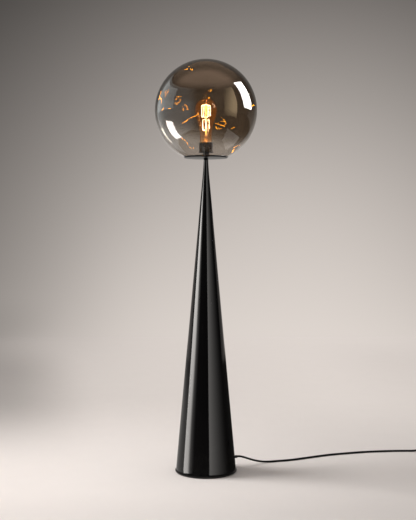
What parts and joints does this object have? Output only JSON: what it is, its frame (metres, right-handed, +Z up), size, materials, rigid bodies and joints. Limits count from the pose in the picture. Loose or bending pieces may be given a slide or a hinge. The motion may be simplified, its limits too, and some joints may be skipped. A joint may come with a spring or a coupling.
{
  "type": "globe floor lamp",
  "caption": "Floor lamp with a smoked glass globe on a tall black cone, a filament bulb in a bronze lampholder, and a mains cord with a foot switch.",
  "frame": {"origin": "middle of the foot, on the floor", "axes": "+Z up the lamp's axis, -Y towards the viewer of the picture, +X to the viewer's right"},
  "size_m": [0.9979, 0.4018, 1.2111],
  "materials": {
    "gloss_black": "gloss black lacquer on spun steel",
    "satin_black": "satin black powder coat",
    "cast_iron": "as cast",
    "zinc_steel": "zinc plated",
    "dark_bronze": "dark bronze metallic lacquer on a pressed steel cup",
    "brass": "bare",
    "ceramic_white": "white glaze",
    "smoked_glass": "clear smoked grey-brown glass",
    "amber_glass": "clear amber glass",
    "glowing_filament": "glowing filament",
    "black_glass": "black vitrite",
    "black_rubber": "satin",
    "black_plastic": "satin moulded",
    "grey_felt": "pressed felt"
  },
  "bodies": {
    "stand": {"base_pad": "grey_felt", "base_plate": "satin_black", "base_screw_1": "zinc_steel", "base_screw_2": "zinc_steel", "base_screw_3": "zinc_steel", "base_weight": "cast_iron", "lower_nut": "zinc_steel", "weight_washer": "zinc_steel", "weight_nut": "zinc_steel", "tie_tube": "zinc_steel", "cone_body": "gloss_black", "cord_grommet": "black_rubber", "inner_lead": "black_rubber", "seat_plate": "satin_black", "seat_gasket": "black_rubber", "ferrule": "satin_black", "socket_cup": "dark_bronze", "lampholder_body": "ceramic_white", "thread_sleeve": "brass", "centre_contact": "brass", "cord_run": "black_rubber", "switch_base": "black_plastic", "switch_cover": "black_plastic", "switch_screw_1": "zinc_steel", "switch_screw_2": "zinc_steel", "switch_bushing_1": "black_rubber", "switch_bushing_2": "black_rubber", "switch_block": "ceramic_white", "cord_lead": "black_rubber", "cord_coil": "black_rubber", "cord_tie": "black_plastic", "cord_tail": "black_rubber", "plug_relief": "black_rubber", "plug_body": "black_plastic", "plug_pin_1": "brass", "plug_pin_2": "brass"},
    "globe": {"glass_globe": "smoked_glass"},
    "bulb": {"bulb_contact": "zinc_steel", "bulb_insulator": "black_glass", "bulb_cap": "brass", "bulb_glass": "amber_glass", "bulb_stem": "amber_glass", "lower_filament": "glowing_filament", "upper_filament": "glowing_filament", "filament_spider_1": "zinc_steel", "filament_spider_2": "zinc_steel", "filament_spider_3": "zinc_steel", "filament_spider_4": "zinc_steel", "lead_in_wire_1": "zinc_steel", "lead_in_wire_2": "zinc_steel"},
    "button": {"switch_button": "black_plastic"}
  },
  "joints": [
    {"name": "globe_lift", "type": "slide", "parent": "stand", "child": "globe", "axis": [0, 0, 1], "range_m": [0, 0.18]},
    {"name": "bulb_lift", "type": "slide", "parent": "stand", "child": "bulb", "axis": [0, 0, 1], "range_m": [0, 0.03]},
    {"name": "button_press", "type": "slide", "parent": "stand", "child": "button", "axis": [0, 0, -1], "range_m": [0, 0.003], "stiffness_N_per_m": 300, "springref_m": -0.002}
  ]
}
